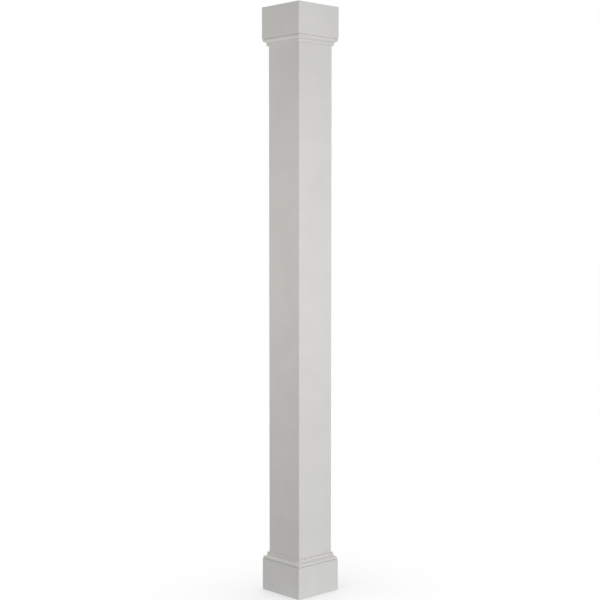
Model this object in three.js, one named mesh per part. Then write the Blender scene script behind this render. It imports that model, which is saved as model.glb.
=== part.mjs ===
// Square porch column: a hollow square shaft with a plain block and a small moulding round each end.
// Millimetres, +Z up, origin at the centre of the underside.
import * as THREE from "three";

// Driving dimensions
const columnHeight = 2438.4; // 8 ft
const shaftSide = 184.15; // 7 1/4 in
const wallThickness = 12.7; // 1/2 in board
const shaftEase = 1; // rounding of the four long arrises
const fitGap = 0.3; // play all round between the shaft and what is slipped over it

const blockHeight = 130.2; // 5 1/8 in
const blockProjection = 20.6; // 13/16 in beyond the shaft's face
const blockEase = 1.2; // rounding of the upper and lower rims

const mouldingHeight = 29.4;
const quirkHeight = 1.2; // the groove that parts the moulding from the block
const quirkProjection = 15.8; // back of that groove
const noseProjection = 18.6; // the nose, almost as far out as the block
const lipRadius = 1.4; // rounding of its lower edge
const shoulderHeight = 7.6; // where its upright face starts to turn in
const shoulderRadius = 3;
const slopeDegrees = 34; // how steeply the slope rises from the nose to the fillet
const filletProjection = 7; // the plain strip against the shaft
const filletEase = 0.8;

const arcSteps = 6; // half the facets of each arc

const colour = 0xcbcac6;
const roughness = 0.45;

// A square of the given side with its four corners rounded, as a closed outline.
function roundedSquare(side, radius) {
  const inset = side / 2 - radius;
  const outline = new THREE.Shape();
  for (let corner = 0; corner < 4; corner += 1) {
    const turn = (corner * Math.PI) / 2;
    const centre = new THREE.Vector2(inset, inset).rotateAround(new THREE.Vector2(), turn);
    outline.absarc(centre.x, centre.y, radius, turn, turn + Math.PI / 2);
  }
  outline.closePath();
  return outline;
}

// The shaft: four walls joined into one box, open at both ends.
function shaftGeometry() {
  const outline = roundedSquare(shaftSide, shaftEase);
  const inside = shaftSide / 2 - wallThickness;
  const hollow = [
    new THREE.Vector2(-inside, -inside),
    new THREE.Vector2(inside, -inside),
    new THREE.Vector2(inside, inside),
    new THREE.Vector2(-inside, inside),
  ];
  outline.holes.push(new THREE.Path(hollow));
  return new THREE.ExtrudeGeometry(outline, {
    depth: columnHeight,
    bevelEnabled: false,
    curveSegments: arcSteps,
  });
}

// Half of a block's upright section, with x measured out from the shaft's face and y up the column.
function blockProfile() {
  const face = blockProjection - blockEase;
  const profile = new THREE.Path();
  profile.moveTo(fitGap, 0);
  profile.lineTo(face, 0);
  profile.absarc(face, blockEase, blockEase, -Math.PI / 2, 0);
  profile.absarc(face, blockHeight - blockEase, blockEase, 0, Math.PI / 2);
  profile.lineTo(fitGap, blockHeight);
  profile.closePath();
  return profile;
}

// Half of a moulding's section, standing on the block: groove, rounded nose, straight slope and fillet.
function mouldingProfile() {
  const top = blockHeight + mouldingHeight;
  const lip = blockHeight + quirkHeight;
  const rise = THREE.MathUtils.degToRad(slopeDegrees);
  const shoulderTurn = Math.PI / 2 - rise; // the nose turns in until it runs along the slope
  const shoulder = new THREE.Vector2(noseProjection - shoulderRadius, blockHeight + shoulderHeight);
  const slopeFoot = new THREE.Vector2(shoulderRadius, 0)
    .rotateAround(new THREE.Vector2(), shoulderTurn)
    .add(shoulder);
  const slopeHead = slopeFoot.y + (slopeFoot.x - filletProjection) * Math.tan(rise);
  const profile = new THREE.Path();
  profile.moveTo(fitGap, blockHeight);
  profile.lineTo(quirkProjection, blockHeight);
  profile.lineTo(quirkProjection, lip);
  profile.absarc(noseProjection - lipRadius, lip + lipRadius, lipRadius, -Math.PI / 2, 0);
  profile.absarc(shoulder.x, shoulder.y, shoulderRadius, 0, shoulderTurn);
  profile.lineTo(filletProjection, slopeHead);
  profile.absarc(filletProjection - filletEase, top - filletEase, filletEase, 0, Math.PI / 2);
  profile.lineTo(fitGap, top);
  profile.closePath();
  return profile;
}

// A section carried round the square shaft with mitred corners: a turning of four sides, square to X and Y.
function collarGeometry(profile) {
  const points = profile.getPoints(arcSteps).map(({ x, y }) => {
    return new THREE.Vector2((shaftSide / 2 + x) * Math.SQRT2, y);
  });
  return new THREE.LatheGeometry(points, 4, Math.PI / 4).rotateX(Math.PI / 2);
}

function piece(name, geometry) {
  const paint = new THREE.MeshStandardMaterial({ color: colour, roughness, metalness: 0 });
  const mesh = new THREE.Mesh(geometry, paint);
  mesh.name = name;
  return mesh;
}

// The block and moulding of one end, standing on the ground plane with the block lowest.
function endTrim(end) {
  const trim = new THREE.Group();
  trim.add(piece(`${end}_block`, collarGeometry(blockProfile())));
  trim.add(piece(`${end}_moulding`, collarGeometry(mouldingProfile())));
  return trim;
}

const base = endTrim("base");

// The capital is the base turned upside down on the head of the shaft.
const capital = endTrim("capital");
capital.rotation.x = Math.PI;
capital.position.z = columnHeight;

const column = new THREE.Group();
column.add(piece("shaft", shaftGeometry()));
column.add(base);
column.add(capital);

export default column;
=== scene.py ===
# Square porch column in satin light-grey paint: a hollow square shaft, with a block and a moulding
# round each end. Blender 4.5, metres, +Z up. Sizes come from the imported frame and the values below.
import math

import bpy
import numpy as np
from mathutils import Matrix, Vector


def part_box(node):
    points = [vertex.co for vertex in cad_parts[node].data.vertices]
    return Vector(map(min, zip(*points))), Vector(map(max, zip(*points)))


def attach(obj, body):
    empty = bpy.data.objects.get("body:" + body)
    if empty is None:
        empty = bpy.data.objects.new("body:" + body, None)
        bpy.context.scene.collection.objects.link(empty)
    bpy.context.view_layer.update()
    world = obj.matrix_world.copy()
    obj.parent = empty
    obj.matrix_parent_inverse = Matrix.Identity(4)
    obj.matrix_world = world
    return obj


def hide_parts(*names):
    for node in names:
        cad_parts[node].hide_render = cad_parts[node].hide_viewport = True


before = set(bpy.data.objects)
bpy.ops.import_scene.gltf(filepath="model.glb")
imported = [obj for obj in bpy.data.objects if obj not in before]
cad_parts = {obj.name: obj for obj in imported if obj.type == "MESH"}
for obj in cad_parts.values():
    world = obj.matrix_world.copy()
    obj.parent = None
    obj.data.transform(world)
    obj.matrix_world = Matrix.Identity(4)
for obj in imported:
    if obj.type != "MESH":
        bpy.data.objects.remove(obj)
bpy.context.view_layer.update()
mm = 0.001

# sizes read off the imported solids
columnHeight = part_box("shaft")[1].z
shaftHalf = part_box("shaft")[1].x
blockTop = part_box("base_block")[1].z
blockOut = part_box("base_block")[1].x - shaftHalf
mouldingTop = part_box("base_moulding")[1].z
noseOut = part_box("base_moulding")[1].x - shaftHalf
print(f"frame loaded: column {columnHeight:.4f} m tall, shaft {2 * shaftHalf:.4f} m square")


def linearColour(hexText):
    # sRGB hex to the linear values that a shader socket takes
    part = np.array([int(hexText[i:i + 2], 16) for i in (1, 3, 5)]) / 255
    lit = np.where(part <= 0.04045, part / 12.92, ((part + 0.055) / 1.055) ** 2.4)
    return (*lit.tolist(), 1.0)


def addNode(tree, kind, settings=None, inputs=None, links=None):
    # one node: its settings, its fixed inputs, and what is linked into it as (node, output name)
    node = tree.nodes.new(kind)
    for name, value in (settings or {}).items():
        setattr(node, name, value)
    for name, value in (inputs or {}).items():
        node.inputs[name].default_value = value
    for name, (source, output) in (links or {}).items():
        tree.links.new(source.outputs[output], node.inputs[name])
    return node


def newMaterial(name):
    material = bpy.data.materials.new(name)
    material.use_nodes = True
    material.node_tree.nodes.clear()
    return material, material.node_tree


# Camera: where the photograph was taken from, as a distance, a height and three angles
cameraView = {
    "distance": 2.1597 * columnHeight,  # from the column's axis, along the ground
    "height": 0.6242 * columnHeight,
    "standDegrees": 43.1,  # how far round it stands from -Y towards -X, so that a corner is nearest
    "yawDegrees": 43.089,  # the way it looks, turned from +Y towards +X
    "pitchDegrees": 3.208,  # downwards
    "focalShare": 2.1006,  # focal length over the sensor's width
    "sensorWidth": 36.0,
}


def makeCamera(view):
    # stands on a circle round the column's axis and looks back at it, a little downwards
    data = bpy.data.cameras.new("photoCamera")
    data.sensor_width = view["sensorWidth"]
    data.lens = view["focalShare"] * view["sensorWidth"]
    camera = bpy.data.objects.new("photoCamera", data)
    bpy.context.scene.collection.objects.link(camera)
    stand = math.radians(view["standDegrees"])
    yaw = math.radians(view["yawDegrees"])
    pitch = math.radians(view["pitchDegrees"])
    place = Vector((-math.sin(stand), -math.cos(stand), 0)) * view["distance"]
    place.z = view["height"]
    look = Matrix.Rotation(-yaw, 4, "Z") @ Matrix.Rotation(math.pi / 2 - pitch, 4, "X")
    camera.matrix_world = Matrix.Translation(place) @ look
    bpy.context.scene.camera = camera


makeCamera(cameraView)
print("camera placed")

# Satin acrylic paint, sprayed on cellular PVC board. To the eye: a smooth, nearly neutral light grey
# with a broad soft sheen, a trace of orange peel, faint clouds where the coat is thicker, a thinner and
# lighter coat along the eased edges, and a darker tone in the joints that is partly dust held there
# and partly painted shade.
paintLook = {
    "coat": "#CCCBCA",
    "thickCoat": "#C8C7C6",
    "thinCoat": "#D8D8D6",
    # darker tone for the joints: partly dust, partly painted shade in the grooves and on the ledges
    "dustAndShade": "#A8A59D",
    "cloudSize": 140 * mm,
    "cloudBand": (0.35, 0.65),  # the part of the noise's range that is stretched over the whole mix
    "wearSize": 22 * mm,
    "wearBand": (0.35, 0.7),
    "wearShare": 0.3,
    "dustAndShadeSize": 9 * mm,
    "dustAndShadeBand": (0.2, 0.7),
    "dustAndShadeShare": 0.45,
    "peelSize": 8 * mm,  # the real orange peel is 2 to 3 mm across, drawn coarser so that it shows
    "peelDepth": 0.05 * mm,
    "sheenBand": (0.3, 0.7),
    "roughness": (0.40, 0.48),
    "ior": 1.49,
}


def makePaint(look):
    material, tree = newMaterial("satinAcrylicPaintOnCellularPvc")
    place = addNode(tree, "ShaderNodeTexCoord")
    clouds = addNode(tree, "ShaderNodeTexNoise", inputs={
        "Scale": 1 / look["cloudSize"],
        "Detail": 3,
        "Roughness": 0.55,
    }, links={"Vector": (place, "Object")})
    thickness = addNode(tree, "ShaderNodeMapRange", inputs={
        "From Min": look["cloudBand"][0],
        "From Max": look["cloudBand"][1],
    }, links={"Value": (clouds, "Fac")})
    coat = addNode(tree, "ShaderNodeMixRGB", inputs={
        "Color1": linearColour(look["coat"]),
        "Color2": linearColour(look["thickCoat"]),
    }, links={"Fac": (thickness, "Result")})

    # the coat is thinner, in patches, where the piece's wear attribute is high
    wear = addNode(tree, "ShaderNodeAttribute", {"attribute_name": "wear"})
    wearPatches = addNode(tree, "ShaderNodeTexNoise", inputs={
        "Scale": 1 / look["wearSize"],
        "Detail": 2,
    }, links={"Vector": (place, "Object")})
    wearRange = addNode(tree, "ShaderNodeMapRange", inputs={
        "From Min": look["wearBand"][0],
        "From Max": look["wearBand"][1],
        "To Max": look["wearShare"],
    }, links={"Value": (wearPatches, "Fac")})
    wearFactor = addNode(tree, "ShaderNodeMath", {"operation": "MULTIPLY"}, links={
        0: (wear, "Fac"),
        1: (wearRange, "Result"),
    })
    worn = addNode(tree, "ShaderNodeMixRGB", inputs={
        "Color2": linearColour(look["thinCoat"]),
    }, links={"Fac": (wearFactor, "Value"), "Color1": (coat, "Color")})

    # the darker joint tone lies, in patches, where the piece's joint attribute is high: partly dust held
    # in the grooves and on the ledges, partly painted shade of those joints
    dustAndShade = addNode(tree, "ShaderNodeAttribute", {"attribute_name": "dustAndShade"})
    dustAndShadePatches = addNode(tree, "ShaderNodeTexNoise", inputs={
        "Scale": 1 / look["dustAndShadeSize"],
        "Detail": 3,
    }, links={"Vector": (place, "Object")})
    dustAndShadeRange = addNode(tree, "ShaderNodeMapRange", inputs={
        "From Min": look["dustAndShadeBand"][0],
        "From Max": look["dustAndShadeBand"][1],
        "To Max": look["dustAndShadeShare"],
    }, links={"Value": (dustAndShadePatches, "Fac")})
    dustAndShadeFactor = addNode(tree, "ShaderNodeMath", {"operation": "MULTIPLY"}, links={
        0: (dustAndShade, "Fac"),
        1: (dustAndShadeRange, "Result"),
    })
    dustedAndShaded = addNode(tree, "ShaderNodeMixRGB", inputs={
        "Color2": linearColour(look["dustAndShade"]),
    }, links={"Fac": (dustAndShadeFactor, "Value"), "Color1": (worn, "Color")})

    sheen = addNode(tree, "ShaderNodeMapRange", inputs={
        "From Min": look["sheenBand"][0],
        "From Max": look["sheenBand"][1],
        "To Min": look["roughness"][0],
        "To Max": look["roughness"][1],
    }, links={"Value": (clouds, "Fac")})
    peel = addNode(tree, "ShaderNodeTexNoise", inputs={
        "Scale": 1 / look["peelSize"],
        "Detail": 1,
    }, links={"Vector": (place, "Object")})
    relief = addNode(tree, "ShaderNodeBump", inputs={
        "Strength": 1.0,
        "Distance": look["peelDepth"],
    }, links={"Height": (peel, "Fac")})
    shader = addNode(tree, "ShaderNodeBsdfPrincipled", inputs={"IOR": look["ior"]}, links={
        "Base Color": (dustedAndShaded, "Color"),
        "Roughness": (sheen, "Result"),
        "Normal": (relief, "Normal"),
    })
    addNode(tree, "ShaderNodeOutputMaterial", links={"Surface": (shader, "BSDF")})
    return material


# Cellular PVC board, sawn across. To the eye: a matt, slightly creamy white with the blade's fine
# parallel scores and the pits of the cut foam cells, with painted shade darkening the low parts of both,
# and a thin darker line of glue across each mitred corner.
sawnLook = {
    "foam": "#DAD8D1",
    # painted shade for the low parts of the cells and the scores
    "pitShade": "#C3C0B7",
    "glue": "#A79F8E",
    "cellSize": 3 * mm,  # the real cells are under 0.5 mm, drawn coarser so that they show
    "scoreSpacing": 5 * mm,  # the real scores are about 1 mm apart, drawn coarser so that they show
    "scoreShare": 0.45,  # how deep the scores are beside the cells
    "bladeDegrees": 24,  # the blade crossed the board at a slant
    "pitShadeBand": (0.9, 0.4),
    "glueWidth": 0.9 * mm,
    "glueShare": 0.8,
    "reliefDepth": 0.15 * mm,
    "roughness": 0.75,
    "ior": 1.49,
}


def makeSawnFoam(look):
    material, tree = newMaterial("sawnCellularPvc")
    place = addNode(tree, "ShaderNodeTexCoord")
    cells = addNode(tree, "ShaderNodeTexNoise", inputs={
        "Scale": 1 / look["cellSize"],
        "Detail": 3,
        "Roughness": 0.6,
    }, links={"Vector": (place, "Object")})
    turned = addNode(tree, "ShaderNodeMapping", inputs={
        "Rotation": (0, 0, math.radians(look["bladeDegrees"])),
    }, links={"Vector": (place, "Object")})
    bandLength = 2 * math.pi / 20  # metres in which this pattern repeats at scale 1
    scores = addNode(tree, "ShaderNodeTexWave", inputs={
        "Scale": bandLength / look["scoreSpacing"],
        "Distortion": 1.5,
        "Detail": 2,
        "Detail Scale": 1.5,
    }, links={"Vector": (turned, "Vector")})
    rough = addNode(tree, "ShaderNodeMath", {"operation": "MULTIPLY_ADD"}, {1: look["scoreShare"]}, {
        0: (scores, "Fac"),
        2: (cells, "Fac"),
    })
    # painted shade: the lower the relief below, the darker the colour
    pitShadeShare = addNode(tree, "ShaderNodeMapRange", inputs={
        "From Min": look["pitShadeBand"][0],
        "From Max": look["pitShadeBand"][1],
    }, links={"Value": (rough, "Value")})
    foam = addNode(tree, "ShaderNodeMixRGB", inputs={
        "Color1": linearColour(look["foam"]),
        "Color2": linearColour(look["pitShade"]),
    }, links={"Fac": (pitShadeShare, "Result")})

    # the glue lies where the distances from the two middle planes are equal: along each mitre
    part = addNode(tree, "ShaderNodeSeparateXYZ", links={"Vector": (place, "Object")})
    farX = addNode(tree, "ShaderNodeMath", {"operation": "ABSOLUTE"}, links={0: (part, "X")})
    farY = addNode(tree, "ShaderNodeMath", {"operation": "ABSOLUTE"}, links={0: (part, "Y")})
    offMitre = addNode(tree, "ShaderNodeMath", {"operation": "SUBTRACT"}, links={
        0: (farX, 0),
        1: (farY, 0),
    })
    fromMitre = addNode(tree, "ShaderNodeMath", {"operation": "ABSOLUTE"}, links={0: (offMitre, 0)})
    glueShare = addNode(tree, "ShaderNodeMapRange", inputs={
        "From Min": look["glueWidth"],
        "From Max": look["glueWidth"] / 2,
        "To Max": look["glueShare"],
    }, links={"Value": (fromMitre, "Value")})
    glued = addNode(tree, "ShaderNodeMixRGB", inputs={
        "Color2": linearColour(look["glue"]),
    }, links={"Fac": (glueShare, "Result"), "Color1": (foam, "Color")})
    relief = addNode(tree, "ShaderNodeBump", inputs={
        "Strength": 1.0,
        "Distance": look["reliefDepth"],
    }, links={"Height": (rough, "Value")})
    shader = addNode(tree, "ShaderNodeBsdfPrincipled", inputs={
        "Roughness": look["roughness"],
        "IOR": look["ior"],
    }, links={"Base Color": (glued, "Color"), "Normal": (relief, "Normal")})
    addNode(tree, "ShaderNodeOutputMaterial", links={"Surface": (shader, "BSDF")})
    return material


# Cellular PVC board with the skin that the extruder leaves, bare on the inside. To the eye: an off-white
# with a low sheen and faint streaks along the board.
skinLook = {
    "skin": "#DBDAD4",
    "streak": "#CFCDC5",
    "streakWidth": 7 * mm,
    "streakLength": 400 * mm,
    "streakBand": (0.4, 0.7),
    "streakDepth": 0.04 * mm,
    "roughness": (0.46, 0.60),
    "ior": 1.49,
}


def makeSkin(look):
    material, tree = newMaterial("extrudedCellularPvcSkin")
    place = addNode(tree, "ShaderNodeTexCoord")
    stretched = addNode(tree, "ShaderNodeMapping", inputs={
        "Scale": (1 / look["streakWidth"], 1 / look["streakWidth"], 1 / look["streakLength"]),
    }, links={"Vector": (place, "Object")})
    streaks = addNode(tree, "ShaderNodeTexNoise", inputs={
        "Scale": 1.0,
        "Detail": 3,
    }, links={"Vector": (stretched, "Vector")})
    streakShare = addNode(tree, "ShaderNodeMapRange", inputs={
        "From Min": look["streakBand"][0],
        "From Max": look["streakBand"][1],
    }, links={"Value": (streaks, "Fac")})
    skin = addNode(tree, "ShaderNodeMixRGB", inputs={
        "Color1": linearColour(look["skin"]),
        "Color2": linearColour(look["streak"]),
    }, links={"Fac": (streakShare, "Result")})
    sheen = addNode(tree, "ShaderNodeMapRange", inputs={
        "To Min": look["roughness"][0],
        "To Max": look["roughness"][1],
    }, links={"Value": (streaks, "Fac")})
    relief = addNode(tree, "ShaderNodeBump", inputs={
        "Strength": 1.0,
        "Distance": look["streakDepth"],
    }, links={"Height": (streaks, "Fac")})
    shader = addNode(tree, "ShaderNodeBsdfPrincipled", inputs={"IOR": look["ior"]}, links={
        "Base Color": (skin, "Color"),
        "Roughness": (sheen, "Result"),
        "Normal": (relief, "Normal"),
    })
    addNode(tree, "ShaderNodeOutputMaterial", links={"Surface": (shader, "BSDF")})
    return material


finishes = [makePaint(paintLook), makeSawnFoam(sawnLook), makeSkin(skinLook)]
painted, sawn, bare = range(len(finishes))  # the slots of these finishes on every piece
print("finishes made")


def arc(centreOut, centreHeight, radius, startDegrees, endDegrees, steps):
    # points on a circle in the profile's plane, for noses and eased edges
    angle = np.radians(np.linspace(startDegrees, endDegrees, steps + 1))
    out = centreOut + radius * np.cos(angle)
    return np.column_stack([out, centreHeight + radius * np.sin(angle)])


def upright(out, heights):
    # a straight stretch of profile, parallel to the column's axis
    heights = np.asarray(heights, dtype=float)
    return np.column_stack([0 * heights + out, heights])


def stretch(points, finish=painted, wear=0.0, dustAndShade=0.0):
    # one stretch of a profile, a row for each point: how far out, how high, its finish, its wear, and
    # its joint darkening, which is partly dust and partly painted shade
    points = np.atleast_2d(points)
    rows = np.zeros((len(points), 5))
    rows[:, :2] = points
    rows[:, 2] = finish
    rows[:, 3] = wear
    rows[:, 4] = dustAndShade
    return rows


def squareSweep(profile, cornerRadius, size):
    # Profile carried round a square: a profile point that stands out by p at height z becomes a ring at
    # that height, a square of half side (shaft half + p) whose corners are quarter circles of the given
    # radius. One quarter is worked out, a corner arc then a straight side, and turned by right angles
    # for the other three.
    half = shaftHalf + profile[:, :1]
    radius = cornerRadius[:, None]
    inset = half - radius
    turn = np.linspace(0, np.pi / 2, size["cornerSteps"] + 1)
    band = size["edgeBand"] / (2 * shaftHalf)
    share = np.hstack([band, np.arange(1, size["sideSteps"]) / size["sideSteps"], 1 - band])
    quarterX = np.hstack([inset + radius * np.cos(turn), inset * (1 - 2 * share)])
    quarterY = np.hstack([inset + radius * np.sin(turn), half + 0 * share])
    ringX = np.hstack([quarterX, -quarterY, -quarterX, quarterY])
    ringY = np.hstack([quarterY, quarterX, -quarterY, -quarterX])
    ringZ = np.repeat(profile[:, 1:2], ringX.shape[1], axis=1)
    onCorner = np.tile(np.hstack([0 * turn + 1, 0 * share]), 4)  # 1 on the corners and 0 on the sides
    return np.stack([ringX, ringY, ringZ], axis=-1), onCorner


def closedGrid(rows, columns):
    # quads of a grid that closes on itself both ways: round the profile and round the square
    here = np.arange(rows * columns).reshape(rows, columns)
    beside = np.roll(here, -1, axis=1)
    above = np.roll(here, -1, axis=0)
    across = np.roll(beside, -1, axis=0)
    return np.stack([here, beside, across, above], axis=-1).reshape(-1, 4)


creaseDegrees = 32  # edges that turn by more than this stay crisp


def makePiece(name, node, profile, cornerRadius, size):
    # a ring of board: the profile is a closed loop, and so is the way round the square
    points, onCorner = squareSweep(profile, cornerRadius, size)
    rows, columns, _ = points.shape
    quads = closedGrid(rows, columns)
    mesh = bpy.data.meshes.new(name)
    mesh.vertices.add(rows * columns)
    mesh.vertices.foreach_set("co", points.astype(np.float32).ravel())
    mesh.loops.add(quads.size)
    mesh.loops.foreach_set("vertex_index", quads.astype(np.int32).ravel())
    mesh.polygons.add(len(quads))
    mesh.polygons.foreach_set("loop_start", np.arange(0, quads.size, 4, dtype=np.int32))
    mesh.polygons.foreach_set("material_index", np.repeat(profile[:, 2], columns).astype(np.int32))
    mesh.polygons.foreach_set("use_smooth", np.ones(len(quads), dtype=bool))
    traces = {
        "wear": np.maximum(profile[:, 3:4], onCorner),
        # joint darkening: partly dust, partly painted shade
        "dustAndShade": np.repeat(profile[:, 4:5], columns, axis=1),
    }
    for label, values in traces.items():
        data = mesh.attributes.new(label, "FLOAT", "POINT").data
        data.foreach_set("value", values.astype(np.float32).ravel())
    mesh.update(calc_edges=True)
    mesh.validate()
    mesh.set_sharp_from_angle(angle=math.radians(creaseDegrees))
    for material in finishes:
        mesh.materials.append(material)
    piece = bpy.data.objects.new(name, mesh)
    bpy.context.scene.collection.objects.link(piece)
    flats = piece.modifiers.new("flatFaces", "WEIGHTED_NORMAL")  # broad faces look flat to their edges
    flats.keep_sharp = True
    flats.weight = 100
    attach(piece, "root")
    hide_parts(node)


shaftSizes = {
    "wall": 12.7 * mm,
    "arris": 1.0 * mm,  # rounding of the long outside corners
    "insideCorner": 0.6 * mm,
    "endEase": 0.8 * mm,  # rounding of the sawn ends
    "easeSteps": 3,
    "evenRows": 48,
    "sideSteps": 8,
    "cornerSteps": 6,
    "edgeBand": 3 * mm,  # how far wear reaches from an edge
}


def makeShaft(size):
    # profile: up the outside face, over the sawn head, down the inside face and back under the foot
    ease = size["endEase"]
    steps = size["easeSteps"]
    wall = size["wall"]
    climb = np.linspace(ease, columnHeight - ease, size["evenRows"])[1:-1]
    profile = np.vstack([
        stretch(arc(-ease, ease, ease, -90, 0, steps)),
        stretch(upright(0, climb)),
        stretch(arc(-ease, columnHeight - ease, ease, 0, 90, steps)[:-1]),
        stretch([[-ease, columnHeight]], sawn),
        stretch(arc(-wall + ease, columnHeight - ease, ease, 90, 180, steps), bare),
        stretch(upright(-wall, climb[::-1]), bare),
        stretch(arc(-wall + ease, ease, ease, 180, 270, steps)[:-1], bare),
        stretch([[-wall + ease, 0]], sawn),
    ])
    radius = np.where(profile[:, 0] > -wall / 2, size["arris"], size["insideCorner"])
    makePiece("shaftBox", "shaft", profile, radius, size)


def makeCollar(name, node, profile, size, atHead):
    # the same collar serves both ends: at the head it is turned over and its profile runs the other way
    if atHead:
        profile = profile[::-1] * [1, -1, 1, 1, 1] + [0, columnHeight, 0, 0, 0]
        profile[:, 2] = np.roll(profile[:, 2], -1)  # a finish belongs to what follows its point
    radius = np.full(len(profile), size["arris"])
    makePiece(name, node, profile, radius, size)


blockSizes = {
    "fitGap": 0.3 * mm,  # play round the shaft
    "arris": 1.4 * mm,
    "rimEase": 1.2 * mm,
    "rimSteps": 6,
    "jointEase": 0.8 * mm,  # rounding of the sawn edge against the shaft, which shows the joint
    "jointSteps": 3,
    "evenRows": 8,
    "sideSteps": 8,
    "cornerSteps": 6,
    "edgeBand": 3 * mm,
}


def makeBlock(name, node, size, atHead):
    # profile: out along the sawn underside, up the face, in along the top, down against the shaft
    ease = size["rimEase"]
    band = size["edgeBand"]
    gap = size["fitGap"]
    joint = size["jointEase"]
    steps = size["rimSteps"]
    climb = np.linspace(band, blockTop - band, size["evenRows"])
    profile = np.vstack([
        stretch(arc(gap + joint, joint, joint, 180, 270, size["jointSteps"]), sawn),
        stretch([[blockOut - ease, 0]], sawn),
        stretch(arc(blockOut - ease, ease, ease, -90, 0, steps)[1:], wear=1),
        stretch(upright(blockOut, climb)),
        stretch(arc(blockOut - ease, blockTop - ease, ease, 0, 90, steps), wear=1),
        # painted shade, with a little dust, on the ledge under the moulding's nose
        stretch([[noseOut - band, blockTop]], dustAndShade=0.5),
        stretch([[gap, blockTop]], bare),
    ])
    makeCollar(name, node, profile, size, atHead)


mouldingSizes = {
    "fitGap": 0.3 * mm,
    "arris": 1.0 * mm,
    "quirkHeight": 1.2 * mm,  # the groove that parts the moulding from the block
    "quirkOut": 15.8 * mm,
    "lipRadius": 1.4 * mm,  # lower edge of the nose
    "shoulderHeight": 7.6 * mm,  # where the nose starts to turn in
    "shoulderRadius": 3.0 * mm,
    "noseSteps": 8,  # of each of the nose's two roundings
    "slopeDegrees": 34,  # how steeply the slope rises from the nose to the fillet
    "slopeSteps": 6,
    "filletOut": 7.0 * mm,
    "filletEase": 0.8 * mm,
    "filletSteps": 5,
    "filletFlat": 2.4 * mm,  # how far below the top the fillet's face is still flat
    "grooveWidth": 0.6 * mm,  # the fine groove between the slope and the fillet
    "grooveDepth": 0.8 * mm,
    "sideSteps": 8,
    "cornerSteps": 6,
    "edgeBand": 2 * mm,
}


def makeMoulding(name, node, size, atHead):
    # profile: foot on the block, quirk, rounded nose, straight slope, fine groove, fillet, top, back
    steps = size["noseSteps"]
    quirkTop = blockTop + size["quirkHeight"]
    lip = size["lipRadius"]
    radius = size["shoulderRadius"]
    rise = size["slopeDegrees"]
    shoulder = arc(noseOut - radius, blockTop + size["shoulderHeight"], radius, 0, 90 - rise, steps)
    run = shoulder[-1, 0] - size["filletOut"]
    slopeEnd = shoulder[-1] + [-run, run * math.tan(math.radians(rise))]
    slope = np.linspace(shoulder[-1], slopeEnd, size["slopeSteps"] + 1)[1:]
    groove = slopeEnd + [-size["grooveDepth"], size["grooveWidth"] / 2]
    ease = size["filletEase"]
    filletSpan = [slopeEnd[1] + size["grooveWidth"], mouldingTop - size["filletFlat"]]
    fillet = upright(size["filletOut"], filletSpan)
    filletTop = arc(size["filletOut"] - ease, mouldingTop - ease, ease, 0, 90, size["filletSteps"])
    profile = np.vstack([
        stretch([[size["fitGap"], blockTop], [size["quirkOut"], blockTop]], bare),
        stretch([[size["quirkOut"], quirkTop]]),
        stretch(arc(noseOut - lip, quirkTop + lip, lip, -90, 0, steps)),
        stretch(shoulder, wear=0.5),
        stretch(slope),
        # painted shade, with a little dust, in the fine groove between the slope and the fillet
        stretch(groove, dustAndShade=1),
        stretch(fillet),
        stretch(filletTop, wear=1),
        stretch([[size["fitGap"], mouldingTop]], bare),
    ])
    makeCollar(name, node, profile, size, atHead)


makeShaft(shaftSizes)
makeBlock("baseBlock", "base_block", blockSizes, False)
makeBlock("capitalBlock", "capital_block", blockSizes, True)
makeMoulding("baseMoulding", "base_moulding", mouldingSizes, False)
makeMoulding("capitalMoulding", "capital_moulding", mouldingSizes, True)
print("pieces made")

# Studio: a pale floor, a white surround, softboxes standing round the column at about half its height,
# and a white board lying round its foot
studio = {
    "floorRadius": 60.0,
    "floorSides": 96,
    "floorColour": "#F6F6F6",
    "floorSun": 2.38,
    "floorSunDegrees": 60,  # as wide as a sky panel, so the column's foot has a soft shadow
    "surroundBelow": 0.48,  # the white sweep throws more light up than the ceiling throws down
    "surroundAbove": 0.34,
    "boxSize": 1.5,
    "boxes": {  # turn in degrees from -Y towards +X, distance, height, watts, colour
        "key": (-10, 3.5, 1.3, 92.4, "#FFFFFC"),
        "fill": (-115, 2.2, 1.5, 19.9, "#FFFDF3"),
        "rearLeft": (168, 4.0, 1.3, 92.0, "#FFFFFC"),
        "rearRight": (100, 4.0, 1.3, 46.0, "#FFFDF3"),
    },
    "topSize": 0.6,
    "topHeight": 3.6,
    "topWatts": 8.0,
    "reflectorSize": 0.6,  # the board, which lifts the base block a little
    "reflectorHeight": 2 * mm,
    "reflectorWatts": 0.19,
    "reflectorColour": "#EEF3FF",
}


def makeFloor(size):
    # a flat disc: points spaced evenly round a circle, filled by one face
    turn = np.linspace(0, 2 * np.pi, size["floorSides"], endpoint=False)
    ring = np.column_stack([np.cos(turn), np.sin(turn), 0 * turn]) * size["floorRadius"]
    mesh = bpy.data.meshes.new("studioFloor")
    mesh.from_pydata(ring.tolist(), [], [list(range(len(ring)))])
    material, tree = newMaterial("mattFloorPaint")
    shader = addNode(tree, "ShaderNodeBsdfPrincipled", inputs={
        "Base Color": linearColour(size["floorColour"]),
        "Roughness": 0.9,
        "Specular IOR Level": 0.1,
    })
    addNode(tree, "ShaderNodeOutputMaterial", links={"Surface": (shader, "BSDF")})
    mesh.materials.append(material)
    floor = bpy.data.objects.new("studioFloor", mesh)
    bpy.context.scene.collection.objects.link(floor)
    floor.visible_diffuse = False  # the surround and the boxes light the column, not the floor's glare
    floor.visible_glossy = False
    return floor


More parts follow.
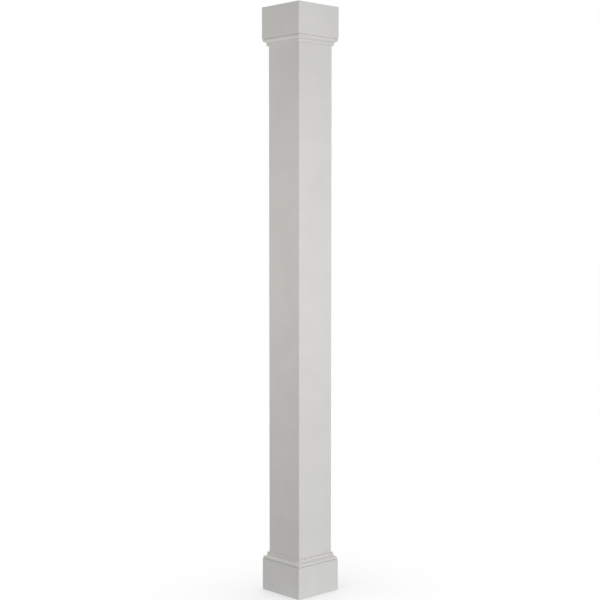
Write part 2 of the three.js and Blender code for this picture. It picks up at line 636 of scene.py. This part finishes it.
def makeWorld(size):
    # lights the column brightest from below, and is plain white where the camera looks past the floor
    world = bpy.data.worlds.new("whiteSurround")
    bpy.context.scene.world = world
    world.use_nodes = True
    tree = world.node_tree
    tree.nodes.clear()
    place = addNode(tree, "ShaderNodeTexCoord")
    part = addNode(tree, "ShaderNodeSeparateXYZ", links={"Vector": (place, "Generated")})
    glow = addNode(tree, "ShaderNodeMapRange", inputs={
        "From Min": -1,
        "To Min": size["surroundBelow"],
        "To Max": size["surroundAbove"],
    }, links={"Value": (part, "Z")})
    path = addNode(tree, "ShaderNodeLightPath")
    strength = addNode(tree, "ShaderNodeMapRange", links={
        "Value": (path, "Is Camera Ray"),
        "To Min": (glow, "Result"),
    })
    shader = addNode(tree, "ShaderNodeBackground", inputs={
        "Color": (1, 1, 1, 1),
    }, links={"Strength": (strength, "Result")})
    addNode(tree, "ShaderNodeOutputWorld", links={"Surface": (shader, "Background")})


def placeLight(data, place, aim, lit):
    light = bpy.data.objects.new(data.name, data)
    light.location = place
    light.rotation_euler = (Vector(aim) - Vector(place)).to_track_quat("-Z", "Y").to_euler()
    light.visible_camera = False
    light.visible_glossy = False  # only the surround is mirrored in the paint, so no edge burns out
    light.light_linking.receiver_collection = lit
    bpy.context.scene.collection.objects.link(light)


def makeLights(size, floor):
    # the boxes light all but the floor, and a broad sun straight above lights the floor alone, evenly
    lit = {}
    for state in ("INCLUDE", "EXCLUDE"):
        lit[state] = bpy.data.collections.new("floor" + state.title())
        lit[state].objects.link(floor)
        lit[state].collection_objects[0].light_linking.link_state = state
    for name, (degrees, distance, height, watts, colour) in size["boxes"].items():
        data = bpy.data.lights.new(name, "AREA")
        data.size = size["boxSize"]
        data.energy = watts
        data.color = linearColour(colour)[:3]
        turn = math.radians(degrees)
        place = (distance * math.sin(turn), -distance * math.cos(turn), height)
        placeLight(data, place, (0, 0, height), lit["EXCLUDE"])
    top = bpy.data.lights.new("top", "AREA")
    top.size = size["topSize"]
    top.energy = size["topWatts"]
    placeLight(top, (0, 0, size["topHeight"]), (0, 0, 0), lit["EXCLUDE"])
    reflector = bpy.data.lights.new("footReflector", "AREA")
    reflector.shape = "DISK"
    reflector.size = size["reflectorSize"]
    reflector.energy = size["reflectorWatts"]
    reflector.color = linearColour(size["reflectorColour"])[:3]
    placeLight(reflector, (0, 0, size["reflectorHeight"]), (0, 0, 1), lit["EXCLUDE"])
    sun = bpy.data.lights.new("floorSun", "SUN")
    sun.energy = size["floorSun"]
    sun.angle = math.radians(size["floorSunDegrees"])
    placeLight(sun, (0, 0, size["topHeight"]), (0, 0, 0), lit["INCLUDE"])


makeLights(studio, makeFloor(studio))
makeWorld(studio)
bpy.context.scene.view_settings.view_transform = "Standard"
print("studio lit")
